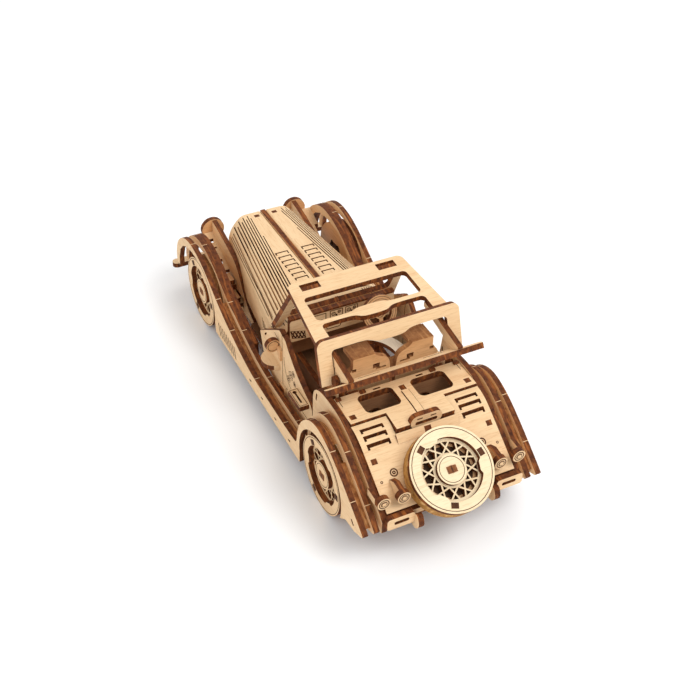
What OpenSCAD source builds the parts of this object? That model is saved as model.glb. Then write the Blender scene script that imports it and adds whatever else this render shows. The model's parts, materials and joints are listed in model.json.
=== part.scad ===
// Laser-cut plywood roadster: a push-fit mechanical puzzle.
// The car faces -Y, +X is its left side, +Z is up and the ground is z = 0.
// The origin lies under the middle of the bounding box.

/* [Sheet] */
// Thickness of the plywood sheet
ply = 3; // [2.9:0.05:3.05]

/* [Wheels] */
// Radius of a road wheel
wheel_r = 21; // [20.5:0.1:21.2]
// Distance from the middle of the car to the front axle
front_axle_y = -91; // [-91.5:0.1:-90.5]
// Distance from the middle of the car to the rear axle
rear_axle_y = 74.7; // [74.4:0.1:75]
// Distance from the centre line to a wheel's outer face
wheel_face_x = 48.6; // [48.4:0.1:49]
// Number of wire spokes leaning each way
wire_count = 12; // [10:1:14]
// Radius of the axle dowels
axle_r = 2; // [1.9:0.05:2]
// Radial clearance of a running fit
run_gap = 0.06; // [0.03:0.01:0.1]

/* [Wings] */
// Distance from the centre line to the outer wing's outer face
wing_x = 49.4; // [49.2:0.1:49.8]

/* [Body] */
// Half width of the rear deck
deck_half = 35.2; // [35:0.1:35.3]
// Height of the bonnet's top at the radiator
nose_top_z = 53.5; // [53:0.1:54]
// Height of the bonnet's top at the scuttle
scuttle_top_z = 56; // [55.5:0.1:56.2]

/* [Roof] */
// Half width of the roof at its front edge
roof_front_half = 33.1; // [32:0.1:34]
// Half width of the roof at its rear edge
roof_rear_half = 37.1; // [36.5:0.1:37.5]
// Height of the roof's top face at its front edge
roof_top_z = 82; // [81.8:0.1:82.2]

/* [Spare wheel] */
// Radius of the spare wheel
spare_r = 21.4; // [21:0.1:21.4]

/* [Hidden] */
$fn = 64;
LIGHT = [0.90, 0.76, 0.56];
AMBER = [0.78, 0.58, 0.33];
BROWN = [0.45, 0.26, 0.17];
STEEL = [0.60, 0.60, 0.60];
eps = 0.01;

// --- chassis levels
floor_z = 9;
rail_x = 20;
rail_z = floor_z + ply;
rail_top_z = 25;
bumper_z = 13.4;
axle_z = wheel_r;
// --- front suspension
beam_half_y = 4;
beam_z = 19.1;
beam_h = 3.6;
beam_end_r = 3.4;
kingpin_x = 32.2;
kingpin_r = 1.5;
kingpin_bore_r = kingpin_r + run_gap;
knuckle_gap = 0.35;
knuckle_lug_z = 3;
arm_y = 10;
tie_z = 12.5;
tie_h = 2.6;
tie_pin_r = 1.1;
// --- wheels
wheel_w = 9.2;
wheel_in_x = wheel_face_x - wheel_w;
bore_r = axle_r + run_gap;
rim_sheet = 3;
wire_w = 0.8;
hub_r = 8.6;
window_r = 14;
// --- wings
infill_x = wing_x - 2 * ply;
middle_x = infill_x - ply;
inner_x = middle_x - ply;
stay_x = 24.6;
lamp_x = 27;
lamp_z = 38.9;
lamp_r = 7;
arch_front_r = 23.7;
arch_rear_r = 24.2;
// --- body
side_x = 35;
quarter_x = deck_half + 0.1;
door_hinge_y = 6.2;
door_bottom_z = 22.2;
door_gap = 0.5;
door_axis = 1.7;
nose_y = -110;
scuttle_y = -15;
nose_half = 22.4;
scuttle_half = 34;
split_z = 40;
rib_half = 1.5;
barrel_r = 1.1;
barrel_x = 2.9;
// --- boot
lid_front_y = 59.6;
lid_rear_y = 79;
lid_top_z = 54.2;
tongue_half = 16;
tongue_rear_y = 90.2;
// --- roof and windscreen
roof_pitch = 4.4;
screen_rake = 28.2;
frame_lean = 17.7;
roof_pivot = [55, 50.5];
pivot_r = 1;
bar_tilt = 33;
// --- spare wheel, lying on the sloping tail
spare_face = [0, 116.85, 43.74];
spare_tilt = 56.1;
spare_w = 9.4;
// --- steering wheel
helm = [-16.5, 8, 55.2];
helm_tilt = 20;
helm_r = 9.9;
column_r = 1.8;

// Catmull-Rom curve through the points of an outline, n steps to a span
function curve_point(p, i, u) =
    let(a = p[max(i - 1, 0)], b = p[i], c = p[i + 1], d = p[min(i + 2, len(p) - 1)])
    0.5 * (2 * b + (c - a) * u + (2 * a - 5 * b + 4 * c - d) * u * u + (3 * b - a - 3 * c + d) * u * u * u);
function curve(p, n = 4) = concat(
    [for (i = [0:len(p) - 2]) for (k = [0:n - 1]) curve_point(p, i, k / n)], [p[len(p) - 1]]);
function arc(c, r, a, b, n = 16) =
    [for (i = [0:n]) c + r * [cos(a + (b - a) * i / n), sin(a + (b - a) * i / n)]];
function lift(p, d) = [for (q = p) q + d];
function flip(p) = [for (i = [len(p) - 1:-1:0]) p[i]];

// A sheet in the YZ plane whose inner face is at x0
module side_sheet(x0, t = ply) {
    translate([x0, 0, 0]) rotate([90, 0, 90]) linear_extrude(t) children();
}

// A sheet in the XZ plane whose front face is at y0
module cross_sheet(y0, t = ply) {
    translate([0, y0 + t, 0]) rotate([90, 0, 0]) linear_extrude(t) children();
}

// The same part on the left, or mirrored to the right
module on_side(s) {
    if (s > 0) children();
    else mirror([1, 0, 0]) children();
}

module both_sides() {
    children();
    mirror([1, 0, 0]) children();
}

module box_outline(low, high, r = 0) {
    if (r > 0) translate(low + [r, r]) offset(r) square(high - low - 2 * [r, r]);
    else translate(low) square(high - low);
}

// ---------------------------------------------------------------- chassis

module chassis_floor() {
    color(LIGHT) difference() {
        translate([0, 0, floor_z]) linear_extrude(ply) union() {
            box_outline([-20, -118], [20, -60]);
            box_outline([-30, -61.2], [30, 108], 2);
        }
        for (y = [-50, -20, 10])
            translate([0, y, floor_z - 1]) cylinder(r = 4, h = ply + 2);
    }
}

module chassis_rail() {
    side_sheet(rail_x) difference() {
        box_outline([nose_y + 0.1, rail_z], [108, rail_top_z]);
        translate([rear_axle_y, axle_z]) circle(bore_r);
        box_outline([front_axle_y - beam_half_y, beam_z], [front_axle_y + beam_half_y, beam_z + beam_h]);
        box_outline([front_axle_y + 5, rail_z - 1], [front_axle_y + 15, rail_z + 4.2]);
    }
}

module chassis_rails() {
    color(LIGHT) both_sides() chassis_rail();
}

module front_axle_beam() {
    color(AMBER) difference() {
        union() {
            translate([-kingpin_x, front_axle_y - beam_half_y, beam_z])
                cube([2 * kingpin_x, 2 * beam_half_y, beam_h]);
            for (s = [-1, 1])
                translate([s * kingpin_x, front_axle_y, beam_z]) cylinder(r = beam_end_r, h = beam_h);
        }
        for (s = [-1, 1])
            translate([s * kingpin_x, front_axle_y, beam_z - 1])
                cylinder(r = kingpin_bore_r, h = beam_h + 2);
    }
}

// Right half of a body section: round shoulder and flank down to z0
function shoulder(w, top, z0) = curve([
    [w * 0.5, top - 0.1], [w * 0.64, top - 0.9], [w * 0.8, top - 4.2], [w * 0.93, top - 8.6], [w, z0]], 3);

// Whole section, flat along its top
module both_halves(w, top, z0) {
    right = shoulder(w, top, z0);
    polygon(concat([[0, top]], right, flip([for (q = right) [-q[0], q[1]]])));
}

module radiator_grille() {
    color(AMBER) cross_sheet(nose_y + ply) difference() {
        both_halves(nose_half - 3.3, nose_top_z - 3.2, 14);
        for (x = [-14:4:14])
            box_outline([x - 0.9, 20], [x + 0.9, 46]);
    }
}

module radiator_shell() {
    color(LIGHT) cross_sheet(nose_y) difference() {
        both_halves(nose_half - 3.3, nose_top_z - 3.2, 14);
        offset(-3.6) both_halves(nose_half - 3.3, nose_top_z - 3.2, 14);
    }
}

module bonnet_rib() {
    notch_y = nose_y + 2 * ply + 0.2;
    notch_z = nose_top_z - 2.9;
    color(BROWN) side_sheet(-rib_half, 2 * rib_half) polygon([
        [nose_y - 0.6, nose_top_z], [scuttle_y, scuttle_top_z], [scuttle_y, scuttle_top_z - 6],
        [notch_y, nose_top_z - 6], [notch_y, notch_z], [nose_y - 0.6, notch_z]]);
}

module firewall() {
    color(AMBER) cross_sheet(scuttle_y + 0.2) difference() {
        both_halves(scuttle_half - 3.2, scuttle_top_z - 3.2, rail_top_z);
        translate([helm[0], helm[2] - (helm[1] - scuttle_y - 1.7) * tan(helm_tilt)]) circle(3.1);
        translate([14, 38]) circle(4);
    }
}

// Fixed flank below the bonnet's opening halves
module bonnet_side() {
    difference() {
        intersection() {
            translate([0, 0, 18]) linear_extrude(split_z - 18.4) polygon([
                [nose_half - 2.6, nose_y], [nose_half, nose_y],
                [scuttle_half, scuttle_y], [scuttle_half - 2.6, scuttle_y]]);
            side_sheet(10, 30) polygon([
                [-112, 34.5], [-93.5, 34.5], [-93, 36.9], [-86, 36.9], [-83.9, 34.8], [-80.6, 31],
                [-76, 24.6], [-73, 21.6], [-70, 20.8],
                [scuttle_y, 20.8], [scuttle_y, 50], [-112, 50]]);
        }
        for (i = [0:3])
            side_sheet(20, 20) translate([-38.2 + 2.4 * i, 30.2 - 0.7 * i]) rotate(20)
                square([1.1, 6], center = true);
    }
}

module bonnet_sides() {
    color(LIGHT) both_sides() bonnet_side();
}

module scuttle_top() {
    color(LIGHT) cross_sheet(scuttle_y + 0.6, 9.8) difference() {
        both_halves(scuttle_half, scuttle_top_z, split_z);
        intersection() {
            offset(-2.6) both_halves(scuttle_half, scuttle_top_z, split_z - 10);
            box_outline([-40, split_z - 1], [40, 60]);
        }
    }
}

module dashboard() {
    color(AMBER) cross_sheet(-4.2) difference() {
        box_outline([-31, 43], [31, 57.4], 2);
        translate([helm[0], helm[2] - (helm[1] + 2.7) * tan(helm_tilt)]) circle(3.1);
        for (x = [3.5, 12.5])
            translate([x, 51.5]) circle(1.2);
    }
    color(BROWN) translate([-31, -4.2, 57.3]) cube([62, 3.2, 1.2]);
}

// ---------------------------------------------------------------- body sides

// Side of the cockpit: scuttle, low cut sill and front door post
module body_side() {
    difference() {
        union() {
            side_sheet(side_x) difference() {
                polygon(concat(
                    [[-25.6, 36.3], [-21.6, 24.9], [-17.8, 19], [-6, 14], [42.4, 14],
                     [42.4, door_bottom_z - door_gap], [door_hinge_y - 1.95, door_bottom_z - door_gap]],
                    [[door_hinge_y - 1.95, 54.8]],
                    curve([[1.6, 55.6], [-2, 53.6], [-21, 39.7], [-25.6, 36.3]], 3)));
                translate([-17.8, 39.5]) rotate(-40) square([1.1, 3.6], center = true);
            }
            translate([side_x - 1.5, door_hinge_y - 3.2, 14])
                cube([5.9, 6.4, door_bottom_z - door_gap - 14]);
        }
        translate([side_x + door_axis, door_hinge_y, 15.5]) cylinder(r = pivot_r + run_gap, h = 10);
    }
    // Fan-shaped step that carries the mirror
    translate([side_x + ply, -6, 29]) intersection() {
        translate([-0.1, 0, 0]) cylinder(r = 7.5, h = ply);
        translate([-0.1, -8, 0]) cube([8, 16, ply]);
    }
}

module mirror_outside() {
    translate([41.5, -2, 46]) rotate([-90, 0, 0]) cylinder(r = 3.9, h = ply);
    translate([side_x + ply, -4, 43.5]) cube([2.5, 3.9, 2.5]);
}

module body_side_left() {
    color(LIGHT) body_side();
    color(AMBER) mirror_outside();
}

module body_side_right() {
    color(LIGHT) mirror([1, 0, 0]) body_side();
}

module quarter() {
    side_sheet(quarter_x) difference() {
        polygon(concat([[43, 14], [43.2, 44]], curve([
            [43.2, 44], [44.6, 49], [48.6, 52.6], [55, 54.6], [65.4, 55.4], [75, 54.4], [86.5, 49.8],
            [97, 43.4], [109, 35.6], [116, 30.8], [119.9, 27]], 4),
            [[119.9, 20], [112, 16.4], [104, 14]]));
        translate([rear_axle_y, axle_z]) circle(4.5);
        translate([47.3, 47]) rotate(-12) square([1.2, 5], center = true);
        translate([87, 41]) rotate(-40) square([4, 1.2], center = true);
    }
}

module quarter_left() {
    color(LIGHT) quarter();
}

module quarter_right() {
    color(LIGHT) mirror([1, 0, 0]) quarter();
}

// Outer line of the tail, from the boot down to the bumper
tail_line = [[78, 52.9], [84, 52.2], [89, 50.2], [94, 47.1], [98.6, 44.1], [106.4, 38.8], [113, 34.3],
    [118.6, 30.4]];
tail_drop = [-1.4, -2.5];

module rear_deck() {
    tail = curve(tail_line, 4);
    color(LIGHT) difference() {
        side_sheet(-deck_half, 2 * deck_half) polygon(concat(tail, flip(lift(tail, tail_drop))));
        translate([-tongue_half - 0.4, 70, 40]) cube([2 * tongue_half + 0.8, 23.2, 30]);
        translate([-50, 70, 40]) cube([100, lid_rear_y + 0.5 - 70, 30]);
        for (s = [-1, 1]) for (i = [0:2])
            tail_louvre(s, i);
    }
    // Latch strip behind the boot's tongue
    color(LIGHT) side_sheet(-tongue_half - 1, 2 * tongue_half + 2)
        polygon([[91.1, 51], [94.4, 47.2], [93, 45.4], [87.3, 46.2], [87.3, 49.1], [90.9, 49.1]]);
    // Valance under the tail
    color(BROWN) translate([-deck_half, 113.5, 25.5]) cube([2 * deck_half, 6.4, ply]);
}

// One cooling slot with a short hook at each end
module tail_louvre(s, i) {
    y = 82.7 + 3.85 * i;
    for (part = [[20, 12.4, 0, 1.6], [20, 1.2, 0, 2.5], [31.2, 1.2, 0, 2.5]])
        translate([s > 0 ? part[0] : -part[0] - part[1], y + part[2], 38]) cube([part[1], part[3], 20]);
}

module tail_lamps() {
    for (s = [-1, 1]) for (p = [[26.6, 0], [37, -0.4]]) {
        color(AMBER) translate([s * p[0], 116 + p[1], 38]) rotate([-90, 0, 0]) cylinder(r = 3.5, h = ply);
        color(BROWN) translate([s * p[0] - 1, 116 + ply + p[1], 37]) cube([2, 0.3, 2]);
    }
}

module lamp_brackets() {
    color(BROWN) for (s = [-1, 1]) {
        translate([s * 26.6 - ply / 2, 0, 0]) side_sheet(0) polygon([
            [106.5, 39.1], [111, 41.5], [115.9, 41], [115.9, 35], [113, 34.7]]);
        translate([s > 0 ? quarter_x + ply + 0.05 : -quarter_x - ply - 2.05, 108, 36]) cube([2, 7.5, 4]);
    }
}

module rear_bumpers() {
    color(LIGHT) both_sides() cross_sheet(120.1) difference() {
        box_outline([22.6, 24], [37.2, 31], 1.5);
        box_outline([25.6, 26.6], [33.5, 28.6], 0.9);
    }
}

module overriders() {
    color(AMBER) both_sides() side_sheet(19.5) polygon(curve([
        [120.1, 24], [122.4, 28.8], [125.4, 29.2], [127.2, 25], [125.4, 21.4], [122.6, 20], [120.1, 21],
        [120.1, 24]], 3));
}

// Places children with +Z along the spare wheel's axis and the origin at its outer face
module at_spare() {
    translate(spare_face) rotate([spare_tilt - 90, 0, 0]) children();
}

module spare_spindle() {
    color(STEEL) at_spare() translate([0, 0, -spare_w - 0.3]) cylinder(r = axle_r, h = spare_w - 0.5);
}

// ---------------------------------------------------------------- wings

wing_front = [[-128.8, 19], [-128.9, 25], [-126.6, 33], [-121.6, 39.6], [-115, 44.4], [-108, 47.2],
    [-100, 48.1], [-90, 46.8], [-80, 43.4], [-70, 38.4], [-60, 33.2], [-50, 29], [-40, 25.6], [-26, 21.6],
    [-12, 19], [2, 18.5], [20, 18.5], [36, 18.7], [46, 19.6]];
wing_rear = [[47.4, 21.5], [48.6, 29], [52, 37.6], [58, 45], [65, 49.6], [73, 51.2], [82, 49.3], [91, 45.2],
    [100, 39.7], [110, 33], [117.4, 27.8], [121.9, 24.4]];
front_hub = [front_axle_y + 1.2, 20];
rear_hub = [rear_axle_y + 0.2, 21.2];

// Wing outline; up lifts the middle of the board, back lifts the rear arch
module wing_outline(up = 0, back = 0, nose = 4.2) {
    front = curve([for (p = wing_front) p + [0, p[0] > -55 ? up : 0]], 3);
    rear = curve([for (p = wing_rear) p + [0, back * (p[1] - 21.6) / 30]], 3);
    difference() {
        polygon(concat(front, rear,
            [[121.3, 23.2], [113, 19.8], [104, 18.8], [98, 14], [50, 9.2], [-66, 9.2], [-66.5, 16]],
            arc(front_hub, arch_front_r, 0, 78, 10),
            [[-93, 43.8], [-100, 43.8], [-108, 42.4], [-115.4, 38.6], [-121, 32.6], [-124 - nose + 4.2, 25],
             [-124.4 - nose + 4.2, 19]]));
        translate(rear_hub) circle(arch_rear_r);
        translate([51, 5]) square([47, 12]);
    }
}

module wing_slots() {
    for (y = [-14, 2, 20, 38])
        translate([y, 13]) rotate(8) square([2.6, 1], center = true);
}

module wing_outer() {
    side_sheet(wing_x - ply) difference() {
        wing_outline();
        wing_slots();
        translate([111, 24]) rotate(-40) square([3.4, 1.4], center = true);
    }
}

module wing_outer_left() {
    color(LIGHT) wing_outer();
}

module wing_outer_right() {
    color(LIGHT) mirror([1, 0, 0]) wing_outer();
}

// Lower filler sheet between the outer and middle sheets
module wing_infills() {
    color(AMBER) both_sides() side_sheet(infill_x) intersection() {
        offset(delta = -2.4) wing_outline();
        union() {
            box_outline([-62, 0], [130, 60]);
            box_outline([-100, 20], [-88, 60]);
        }
    }
}

module wing_middle() {
    side_sheet(middle_x) wing_outline(up = 1.8, back = 2.6);
}

module wing_middle_left() {
    color(LIGHT) wing_middle();
}

module wing_middle_right() {
    color(LIGHT) mirror([1, 0, 0]) wing_middle();
}

module wing_inners() {
    color(LIGHT) both_sides() side_sheet(inner_x) intersection() {
        wing_outline(up = 1.2);
        box_outline([-140, 0], [-30, 60]);
    }
}

// Inner stay that runs from the headlamp down to the chassis rail
module wing_stay() {
    difference() {
        side_sheet(stay_x) difference() {
            polygon(concat(
                curve([[-123.5, 45.2], [-113, 43.9], [-102, 41.8], [-94, 39.7], [-88.6, 37.9], [-84.4, 34.6],
                    [-81, 30.6], [-76.4, 24.1], [-70.8, 18.2], [-66, 14.6], [-61.5, 12.5]], 3),
                [[-61.5, 9], [-80, 9]],
                curve([[-84, 9.4], [-92, 13.6], [-104, 23], [-116, 30.5], [-123.5, 34]], 3)));
            box_outline([front_axle_y - beam_half_y, beam_z], [front_axle_y + beam_half_y, beam_z + beam_h]);
            box_outline([front_axle_y + 3, tie_z - 0.6], [front_axle_y + 15, beam_z + 0.1]);
        }
        // Clearance for the bonnet's fixed flank
        translate([0, 0, 36.6]) linear_extrude(10) polygon([
            [10, nose_y], [nose_half + 0.15, nose_y], [scuttle_half + 0.15, scuttle_y], [10, scuttle_y]]);
    }
    // Slotted brace between the stay and the wing, narrower beside the steered wheel
    difference() {
        union() {
            brace(-123.5, -111.6, inner_x);
            brace(-112, -97.5, inner_x - 2.5);
        }
        for (y = [[-119, 2.5], [-113.4, 1], [-105, 3]])
            translate([29.2, y[0], 20]) cube([3.4, y[1], 30]);
    }
}

// Sloping strip of the brace between two stations, out to x1
module brace(y0, y1, x1) {
    side_sheet(stay_x + ply - eps, x1 - stay_x - ply + eps) polygon([
        [y0, brace_z(y0)], [y1, brace_z(y1)], [y1, brace_z(y1) - 2], [y0, brace_z(y0) - 2]]);
}

function brace_z(y) = 37.8 - (y + 124) * 0.4226;

module wing_stays() {
    color(LIGHT) both_sides() wing_stay();
}

module headlamps() {
    for (s = [-1, 1]) {
        color(LIGHT) translate([s * lamp_x, -123.6, lamp_z]) rotate([90, 0, 0]) cylinder(r = lamp_r, h = ply);
        color(AMBER) translate([s * lamp_x, -126.55, lamp_z]) rotate([90, 0, 0]) difference() {
            cylinder(r = lamp_r - 1, h = 1.4);
            translate([0, 0, 0.8]) cylinder(r = lamp_r - 2.5, h = 1.4);
        }
    }
}

module front_bumper() {
    color(LIGHT) translate([0, 0, bumper_z]) linear_extrude(ply) difference() {
        box_outline([-51.6, -134.6], [51.6, -129.2], 2.6);
        box_outline([-18, -133], [18, -131], 0.8);
    }
    color(BROWN) for (s = [-1, 1])
        translate([s * 14 - 2, -129.3, rail_z]) cube([4, 13.3, bumper_z + ply - rail_z]);
}

// ---------------------------------------------------------------- cockpit

module seat() {
    color(AMBER) cross_sheet(52.4) difference() {
        polygon(concat([[1.6, 30], [1.6, 60]], curve([[1.6, 60], [3, 66.4], [8.5, 69.6], [10.4, 71.6]], 4),
            [[22.4, 71.6], [22.4, 66], [25.2, 62], [25.2, 30]]));
        box_outline([20.6, 63.6], [23, 65.4]);
        box_outline([4, 61.2], [9.5, 62.2]);
        box_outline([7.6, 62.2], [11.4, 65]);
    }
    color(BROWN) translate([9.6, 44.2, 69]) cube([12.8, 8.3, 2.4]);
    color(AMBER) translate([2, 24, 30]) cube([23, 28.5, 6]);
    color(LIGHT) for (x = [2, 22])
        translate([x, 24, rail_z]) cube([ply, 28.3, 30 - rail_z]);
}

module seat_left() {
    difference() {
        seat();
        translate([19.9, 20, rail_z - 1]) cube([ply + 0.2, 40, rail_top_z - rail_z + 1.05]);
    }
}

module seat_right() {
    mirror([1, 0, 0]) seat_left();
}

// Curved band that links the middle of the floor with the driver's seat
module console_band() {
    color([0.93, 0.86, 0.76]) translate([12, 50, 61]) linear_extrude(2.4) intersection() {
        difference() {
            circle(22.7);
            circle(16.2);
        }
        polygon([[0, 0], [-30, 3], [-30, -30], [-12.5, -30]]);
    }
    color(AMBER) translate([-1.4, 32, rail_z]) cube([2.8, 6, 49.1]);
}

// Places children in the windscreen's own upright frame
module at_screen() {
    translate([0, -12, 52]) rotate([-screen_rake, 0, 0]) children();
}

module windscreen_frame() {
    tab_top = 34;
    color(LIGHT) at_screen() cross_sheet(0) difference() {
        union() {
            polygon([[36.2, -3.8], [33, 29.6], [-33, 29.6], [-36.2, -3.8],
                [-32.2, -3.8], [-30.5, 6.6], [30.5, 6.6], [32.2, -3.8]]);
            for (s = [-1, 1])
                translate([s * 21.8 - 5, 29.5]) square([10, tab_top - 29.5]);
        }
        offset(2.5) polygon([[-27, 10.9], [27, 10.9], [26.4, 24.2], [-26.4, 24.2]]);
    }
}

// ---------------------------------------------------------------- drive line

module rear_axle() {
    color(STEEL) translate([-wheel_face_x + 0.4, rear_axle_y, axle_z]) rotate([0, 90, 0])
        cylinder(r = axle_r, h = 2 * wheel_face_x - 0.8);
}

// Wall between the cockpit and the boot
module bulkhead() {
    color(AMBER) cross_sheet(60.2) difference() {
        box_outline([-34.9, 25.2], [34.9, 50.6], 1);
        for (s = [-1, 1])
            translate([s * 14, 38]) circle(5);
    }
}

// ---------------------------------------------------------------- opening panels

module boot_lid() {
    color(LIGHT) difference() {
        union() {
            translate([-deck_half + 0.2, lid_front_y, lid_top_z - ply])
                cube([2 * deck_half - 0.4, lid_rear_y - lid_front_y, ply]);
            side_sheet(-tongue_half, 2 * tongue_half) polygon([
                [lid_rear_y - 2, lid_top_z - ply], [lid_rear_y - 2, lid_top_z], [lid_rear_y, lid_top_z],
                [tongue_rear_y, lid_top_z - 1.1], [tongue_rear_y, lid_top_z - 1.1 - ply],
                [lid_rear_y, lid_top_z - ply]]);
        }
        for (s = [-1, 1]) {
            translate([s * 14.7, 69.4, 45]) linear_extrude(20) offset(3) square([13.4, 7.4], center = true);
            translate([s * 32 - 1.6, 73.5, 45]) cube([3.2, 3.2, 20]);
            translate([s * 12 - 2, 60.8, 45]) cube([4, 1, 20]);
        }
        translate([-1.6, 64.3, 45]) cube([3.2, 3.4, 20]);
        translate([-8.7, tongue_rear_y - 2.6, 45]) cube([17.4, 5, 20]);
    }
    // Thin strip along the middle, down onto the tongue
    color(LIGHT) side_sheet(-1.8, 3.6) polygon([
        [68.4, lid_top_z - 0.2], [68.4, lid_top_z + 0.45], [lid_rear_y, lid_top_z + 0.45],
        [84.6, lid_top_z - 0.1], [84.6, lid_top_z - 0.8], [lid_rear_y, lid_top_z - 0.2]]);
    // Corner plugs
    color(BROWN) for (s = [-1, 1])
        translate([s * 32 - 1.6, 73.5, lid_top_z - ply]) cube([3.2, 3.2, ply - 0.3]);
    // Hinge barrels at the front edge
    color(BROWN) for (s = [-1, 1])
        translate([s * 24 - 3, lid_front_y - 0.9, lid_top_z - 1.5]) rotate([0, 90, 0])
            cylinder(r = 1.5, h = 6);
}

module boot_handle() {
    color(LIGHT) cross_sheet(tongue_rear_y - 2.55, 2.9) difference() {
        box_outline([-8.6, 49.6], [8.6, 57.2], 3.6);
        box_outline([-6, 51.6], [6, 53.6], 0.8);
    }
}

module bonnet_slice(y, w, top, low) {
    translate([0, y, 0]) rotate([90, 0, 0]) linear_extrude(0.02)
        polygon(concat([[-5, low], [-5, top]], shoulder(w, top, low)));
}

// One opening half of the bonnet, bent over the shoulder
module bonnet_half() {
    skin = 2.4;
    difference() {
        hull() {
            bonnet_slice(nose_y, nose_half, nose_top_z, split_z);
            bonnet_slice(scuttle_y - 0.1, scuttle_half, scuttle_top_z, split_z);
        }
        hull() {
            bonnet_slice(nose_y - 2, nose_half - skin - 0.3, nose_top_z - skin - 0.1, split_z - 2);
            bonnet_slice(scuttle_y + 2, scuttle_half - skin + 0.3, scuttle_top_z - skin + 0.1, split_z - 2);
        }
        translate([-20, nose_y - 5, 0]) cube([20 + barrel_x, 110, 80]);
        // Lower edge rises clear of the body side
        side_sheet(20, 30) polygon([[-21.4, 30], [-21.4, 40.4], [-10, 48.8], [-10, 30]]);
        bonnet_kerfs();
        bonnet_louvres();
    }
    // Rolled hinge edge beside the rib
    climb = atan((scuttle_top_z - nose_top_z) / (scuttle_y - nose_y));
    translate([barrel_x, nose_y + 0.1, nose_top_z - barrel_r - 0.1]) rotate([climb - 90, 0, 0])
        cylinder(r = barrel_r, h = scuttle_y - nose_y - 0.3);
}

// Flexing cuts that let the sheet bend over the shoulder
function kerf_x(k, y) = let(a = (0.342 + 0.062 * k) * nose_half)
    a + ((0.526 + 0.047 * k) * scuttle_half - a) * (y - nose_y) / (scuttle_y - nose_y);

module bonnet_kerfs() {
    for (k = [0:9]) {
        y0 = k == 0 ? -84 : nose_y + 2 + 3 * (k % 2);
        y1 = scuttle_y - 3 - 4 * (k % 2);
        x0 = kerf_x(k, y0);
        x1 = kerf_x(k, y1);
        translate([0, 0, 30]) linear_extrude(40)
            polygon([[x0, y0], [x0 + 0.55, y0], [x1 + 0.85, y1], [x1, y1]]);
    }
}

// Row of hooked cooling slots beside the rib
module bonnet_louvres() {
    for (i = [0:6])
        translate([4.15, -64.6 + 4.5 * i, 45]) {
            cube([7.9, 0.95, 20]);
            cube([0.7, 3.1, 20]);
            translate([7.1, 0, 0]) cube([0.8, 2.5, 20]);
        }
}

module bonnet_left() {
    color(LIGHT) bonnet_half();
}

module bonnet_right() {
    color(LIGHT) mirror([1, 0, 0]) bonnet_half();
}

module door() {
    side_sheet(side_x) polygon(concat(
        [[door_hinge_y - 1.4, door_bottom_z]],
        curve([[door_hinge_y - 1.4, 54.6], [8.4, 54.2], [12, 50.6], [20.4, 43.8], [30, 38.6], [38.4, 35.6],
            [41.6, 32.4]], 3),
        [[42, 26], [40, door_bottom_z]]));
    translate([side_x + door_axis, door_hinge_y, door_bottom_z - 5.6]) cylinder(r = pivot_r, h = 5.7);
    difference() {
        translate([side_x + ply - eps, 23.6, 31]) cube([5.4, 14.4, ply]);
        translate([side_x + ply + 2.4, 26.4, 30]) cube([1, 8.6, 5]);
        translate([side_x + ply + 2.9, 26.4, 30]) cylinder(r = 1.1, h = 5);
    }
}

module door_left() {
    color(LIGHT) door();
}

module door_right() {
    color(LIGHT) mirror([1, 0, 0]) door();
}

// ---------------------------------------------------------------- roof

// Places children with +Y running back along the sloping roof and z = 0 on its top face
module at_roof() {
    translate([0, -0.6, roof_top_z]) rotate([-roof_pitch, 0, 0]) children();
}

// Round-cornered window whose edge swells forward or back at its middle
function swell(w, y, d) =
    curve([[-w, y], [-0.42 * w, y], [-0.2 * w, y + d], [0.2 * w, y + d], [0.42 * w, y], [w, y]], 4);

module roof_panel() {
    len_y = 48.4;
    color(LIGHT) at_roof() translate([0, 0, -ply]) linear_extrude(ply) difference() {
        offset(3.5) polygon([
            [-roof_front_half + 3.5, 3.5], [roof_front_half - 3.5, 3.5],
            [roof_rear_half - 3.5, len_y - 3.5], [-roof_rear_half + 3.5, len_y - 3.5]]);
        // Rear edge against the rear frame
        translate([-50, len_y - 1.4]) square([100, 10]);
        // Front opening with its swollen rear edge
        offset(2.4) offset(-2.4) polygon(concat([[29.2, 12.4], [-29.2, 12.4]], swell(29.6, 30.4, -1.6)));
        // Rear notch
        offset(2.4) offset(-2.4) polygon(concat([[29, 60], [-29, 60]], [[-29, 34.4]], swell(29, 33.4, 2.4)));
        for (s = [-1, 1])
            translate([s * 21.85 - 5.3, 2.4]) square([10.6, 5]);
    }
}

// Places children in the rear frame's own upright frame, y = 0 on its rear face
module at_rear_frame() {
    translate([0, 56.2, 60.8]) rotate([frame_lean, 0, 0]) children();
}

module roof_rear_frame() {
    color(LIGHT) at_rear_frame() cross_sheet(-ply) difference() {
        intersection() {
            translate([-39.5, -20]) offset(4) translate([4, 4]) square([71, 35.7]);
            polygon([[-39.6, 24], [39.6, 24], [39.8, 0], [34.4, 0], [34.4, -1],
                [-34.4, -1], [-34.4, 0], [-39.8, 0]]);
        }
        offset(2.2) offset(-2.2) polygon(concat([[32.2, -10], [-32.2, -10]], swell(32.2, 17.8, -2.2)));
    }
}

module roof_arms() {
    color(LIGHT) both_sides() side_sheet(31.6 - ply) difference() {
        union() {
            polygon([[34, 76.2], [47.6, 75.1], [52, 74.2], [68.6, 71.8], [68.7, 70.5], [61, 65.4], [58.5, 58],
                [58.5, 50.5], [51.6, 50.5], [54.2, 68.9], [42.4, 71.2], [34, 73.4]]);
            translate(roof_pivot) circle(3.4);
        }
        translate([55, 60]) rotate(10) square([1, 4], center = true);
    }
    color(STEEL) for (s = [-1, 1])
        translate([s > 0 ? 31.5 : 0.05 - quarter_x, roof_pivot[0], roof_pivot[1]]) rotate([0, 90, 0])
            cylinder(r = pivot_r, h = quarter_x - 31.55);
}

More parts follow.
